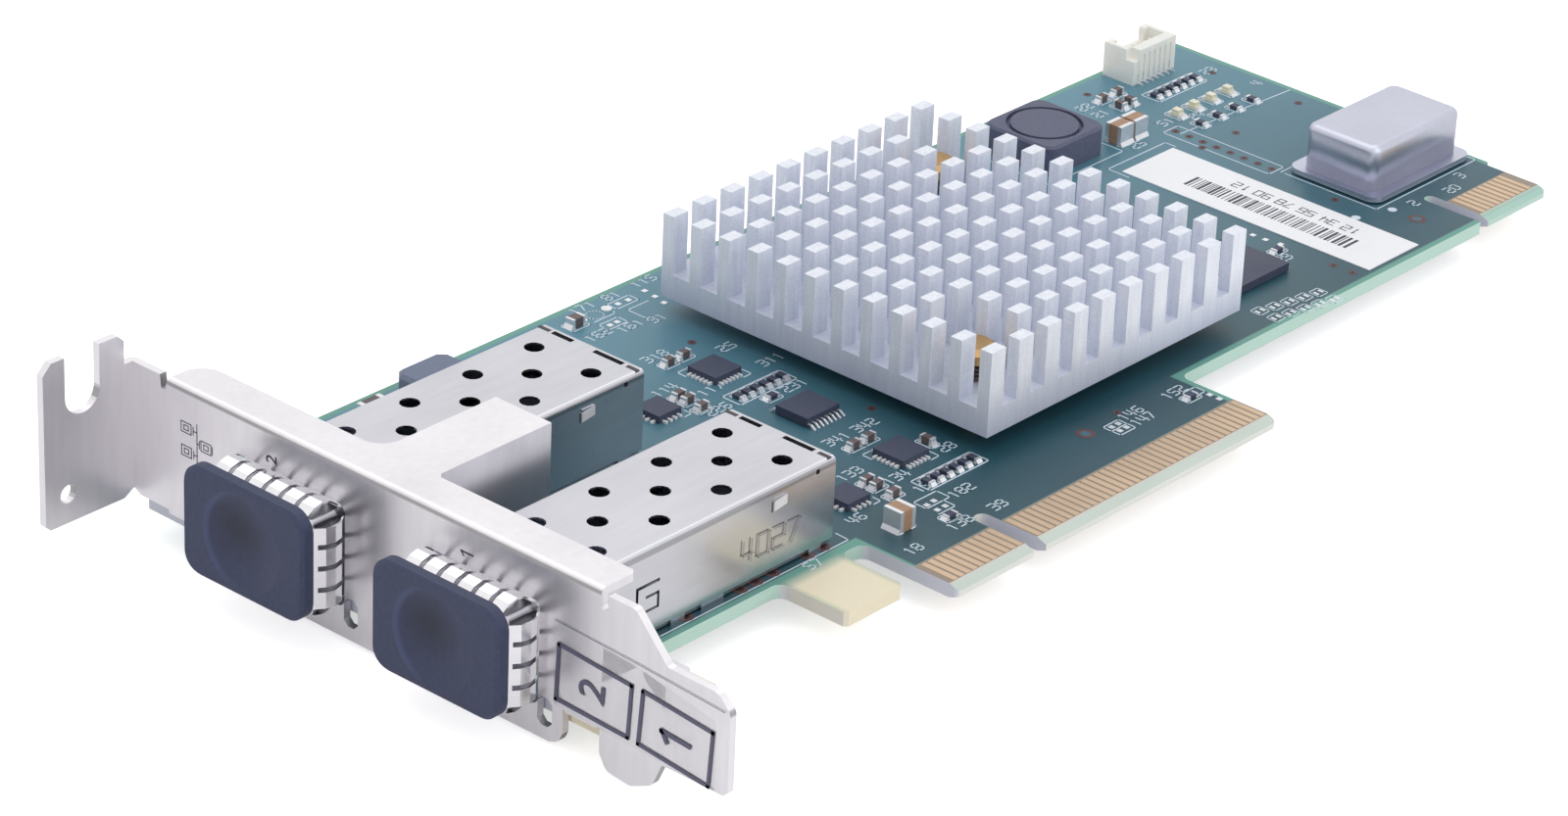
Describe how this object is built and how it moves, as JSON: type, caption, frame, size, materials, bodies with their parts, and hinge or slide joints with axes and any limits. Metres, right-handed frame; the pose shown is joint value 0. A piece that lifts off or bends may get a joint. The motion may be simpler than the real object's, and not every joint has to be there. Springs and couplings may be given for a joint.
{
  "type": "network interface card",
  "caption": "Low-profile two-port expansion card: board with gold edge connector, perforated module cages, finned heat sink and bent steel bracket.",
  "frame": {"origin": "middle of the key notch in X, mating edge of the connector tongue in Y, middle of the board's thickness in Z", "axes": "+X along the board away from the bracket, +Y away from the edge connector, +Z out of the component side"},
  "size_m": [0.1771, 0.0801, 0.0227],
  "materials": {
    "board": "teal-green solder mask over pale glass-fibre laminate, satin gloss",
    "gold": "gold-plated copper",
    "bracket_metal": "bright nickel-plated sheet steel",
    "cage_metal": "bright tin-nickel plated sheet",
    "collar_metal": "bright nickel-plated spring bronze",
    "heat_sink": "satin natural aluminium, sawn",
    "brass": "turned brass",
    "spring_steel": "dark spring wire",
    "screw_metal": "zinc-plated",
    "black_epoxy": "moulded package, fine matt",
    "thermal_pad": "soft grey pad",
    "ferrite": "dark pressed ferrite, matt",
    "blue_grey_ferrite": "blue-grey pressed powder, matt",
    "can_metal": "satin nickel-plated drawn can",
    "ivory_plastic": "ivory nylon",
    "solder": "bright tin",
    "tan_ceramic": "fired ceramic, matt",
    "resistor_black": "glazed black film",
    "lamp_clear": "clear resin",
    "label_paper": "white label stock, satin",
    "clear_film": "thin clear film",
    "black_plastic": "black moulded plastic",
    "plug_rubber": "dark blue-black moulded plug, matt"
  },
  "bodies": {
    "root": {"circuit_board": "board", "edge_contacts_top": "gold", "edge_contacts_bottom": "gold", "aux_contacts_top": "gold", "aux_contacts_bottom": "gold", "bracket": "bracket_metal", "heat_sink": "heat_sink", "push_pin_1": "brass", "push_pin_2": "brass", "push_pin_springs": "spring_steel", "controller_package": "black_epoxy", "thermal_pad": "thermal_pad", "bracket_screws": "screw_metal", "power_choke": "ferrite", "rear_choke": "blue_grey_ferrite", "oscillator_base": "can_metal", "oscillator_can": "can_metal", "pin_header": "ivory_plastic", "pin_header_contacts": "solder", "interface_chips": "black_epoxy", "driver_chip": "black_epoxy", "driver_chip_leads": "solder", "memory_chip": "black_epoxy", "memory_chip_leads": "solder", "tall_capacitors": "tan_ceramic", "tall_capacitor_ends": "solder", "chip_resistors": "resistor_black", "chip_resistor_ends": "solder", "chip_capacitors": "tan_ceramic", "chip_capacitor_ends": "solder", "indicator_lamps": "lamp_clear", "indicator_lamp_ends": "gold", "paper_label": "label_paper", "clear_film": "clear_film", "port_1_cage_cover": "cage_metal", "port_1_cage_base": "cage_metal", "port_1_host_connector": "black_plastic", "port_1_spring_collar": "collar_metal", "dust_plug_1": "plug_rubber", "port_2_cage_cover": "cage_metal", "port_2_cage_base": "cage_metal", "port_2_host_connector": "black_plastic", "port_2_spring_collar": "collar_metal", "dust_plug_2": "plug_rubber"}
  },
  "joints": []
}
